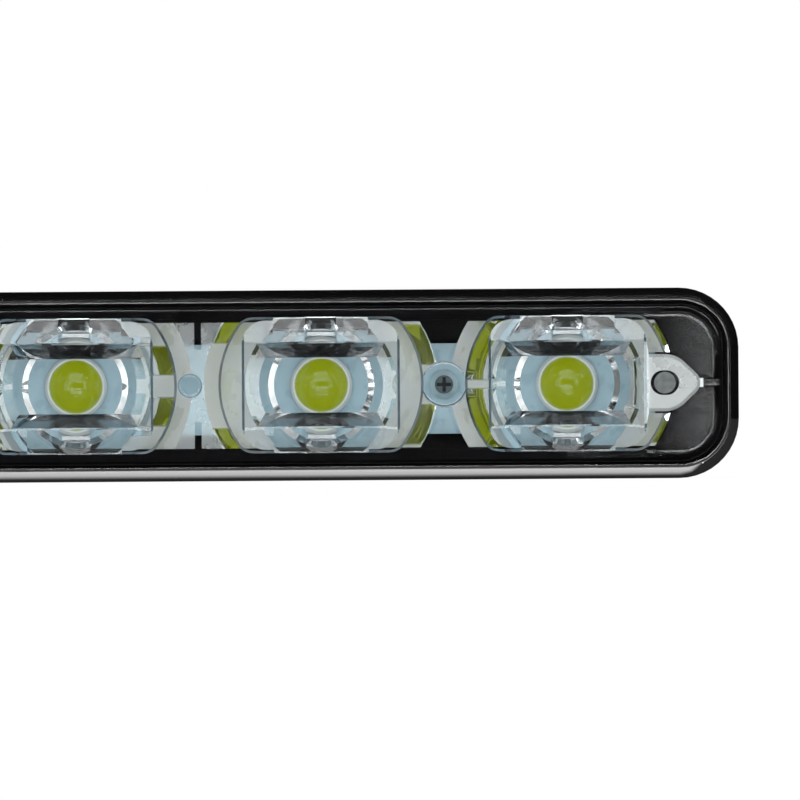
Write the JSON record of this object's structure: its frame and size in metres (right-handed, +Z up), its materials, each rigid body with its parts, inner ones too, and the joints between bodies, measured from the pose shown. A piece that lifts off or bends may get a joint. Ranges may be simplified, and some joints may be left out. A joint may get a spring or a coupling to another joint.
{
  "type": "daytime running light",
  "caption": "Slim straight LED daytime running light with a clear cover, a moulded optic strip in a black bezel, and a finned black housing with rear fixing bosses and a cable gland.",
  "frame": {"origin": "middle of the two rear fixing holes, on the plane of their boss faces", "axes": "+X along the bar, +Y out of the back, +Z up; the front faces -Y"},
  "size_m": [0.16, 0.032, 0.0194],
  "materials": {
    "black_casting": "black powder coat on die-cast aluminium",
    "clear_cover": "clear polycarbonate, polished",
    "seal_rubber": "black silicone bead",
    "black_bezel": "glossy black moulding",
    "clear_optic": "clear acrylic, polished, frosted at the lugs",
    "board_mask": "pale solder mask on an aluminium-core board",
    "screw_steel": "dark zinc plate",
    "resistor_body": "black glaze with tinned end caps",
    "diode_body": "black moulding compound",
    "gland_rubber": "black rubber",
    "led_package": "white moulded package",
    "phosphor": "yellow-green phosphor gel",
    "dome_silicone": "clear silicone",
    "tinned_lead": "tinned copper"
  },
  "bodies": {
    "root": {"heat_sink_housing": "black_casting", "front_cover": "clear_cover", "cover_seal": "seal_rubber", "inner_bezel": "black_bezel", "optic_strip": "clear_optic", "circuit_board": "board_mask", "board_screws": "screw_steel", "string_resistor_1": "resistor_body", "string_resistor_2": "resistor_body", "polarity_diode": "diode_body", "cable_gland": "gland_rubber", "led_body_1": "led_package", "led_phosphor_1": "phosphor", "led_dome_1": "dome_silicone", "led_leads_1": "tinned_lead", "led_body_2": "led_package", "led_phosphor_2": "phosphor", "led_dome_2": "dome_silicone", "led_leads_2": "tinned_lead", "led_body_3": "led_package", "led_phosphor_3": "phosphor", "led_dome_3": "dome_silicone", "led_leads_3": "tinned_lead", "led_body_4": "led_package", "led_phosphor_4": "phosphor", "led_dome_4": "dome_silicone", "led_leads_4": "tinned_lead", "led_body_5": "led_package", "led_phosphor_5": "phosphor", "led_dome_5": "dome_silicone", "led_leads_5": "tinned_lead", "led_body_6": "led_package", "led_phosphor_6": "phosphor", "led_dome_6": "dome_silicone", "led_leads_6": "tinned_lead"}
  },
  "joints": []
}
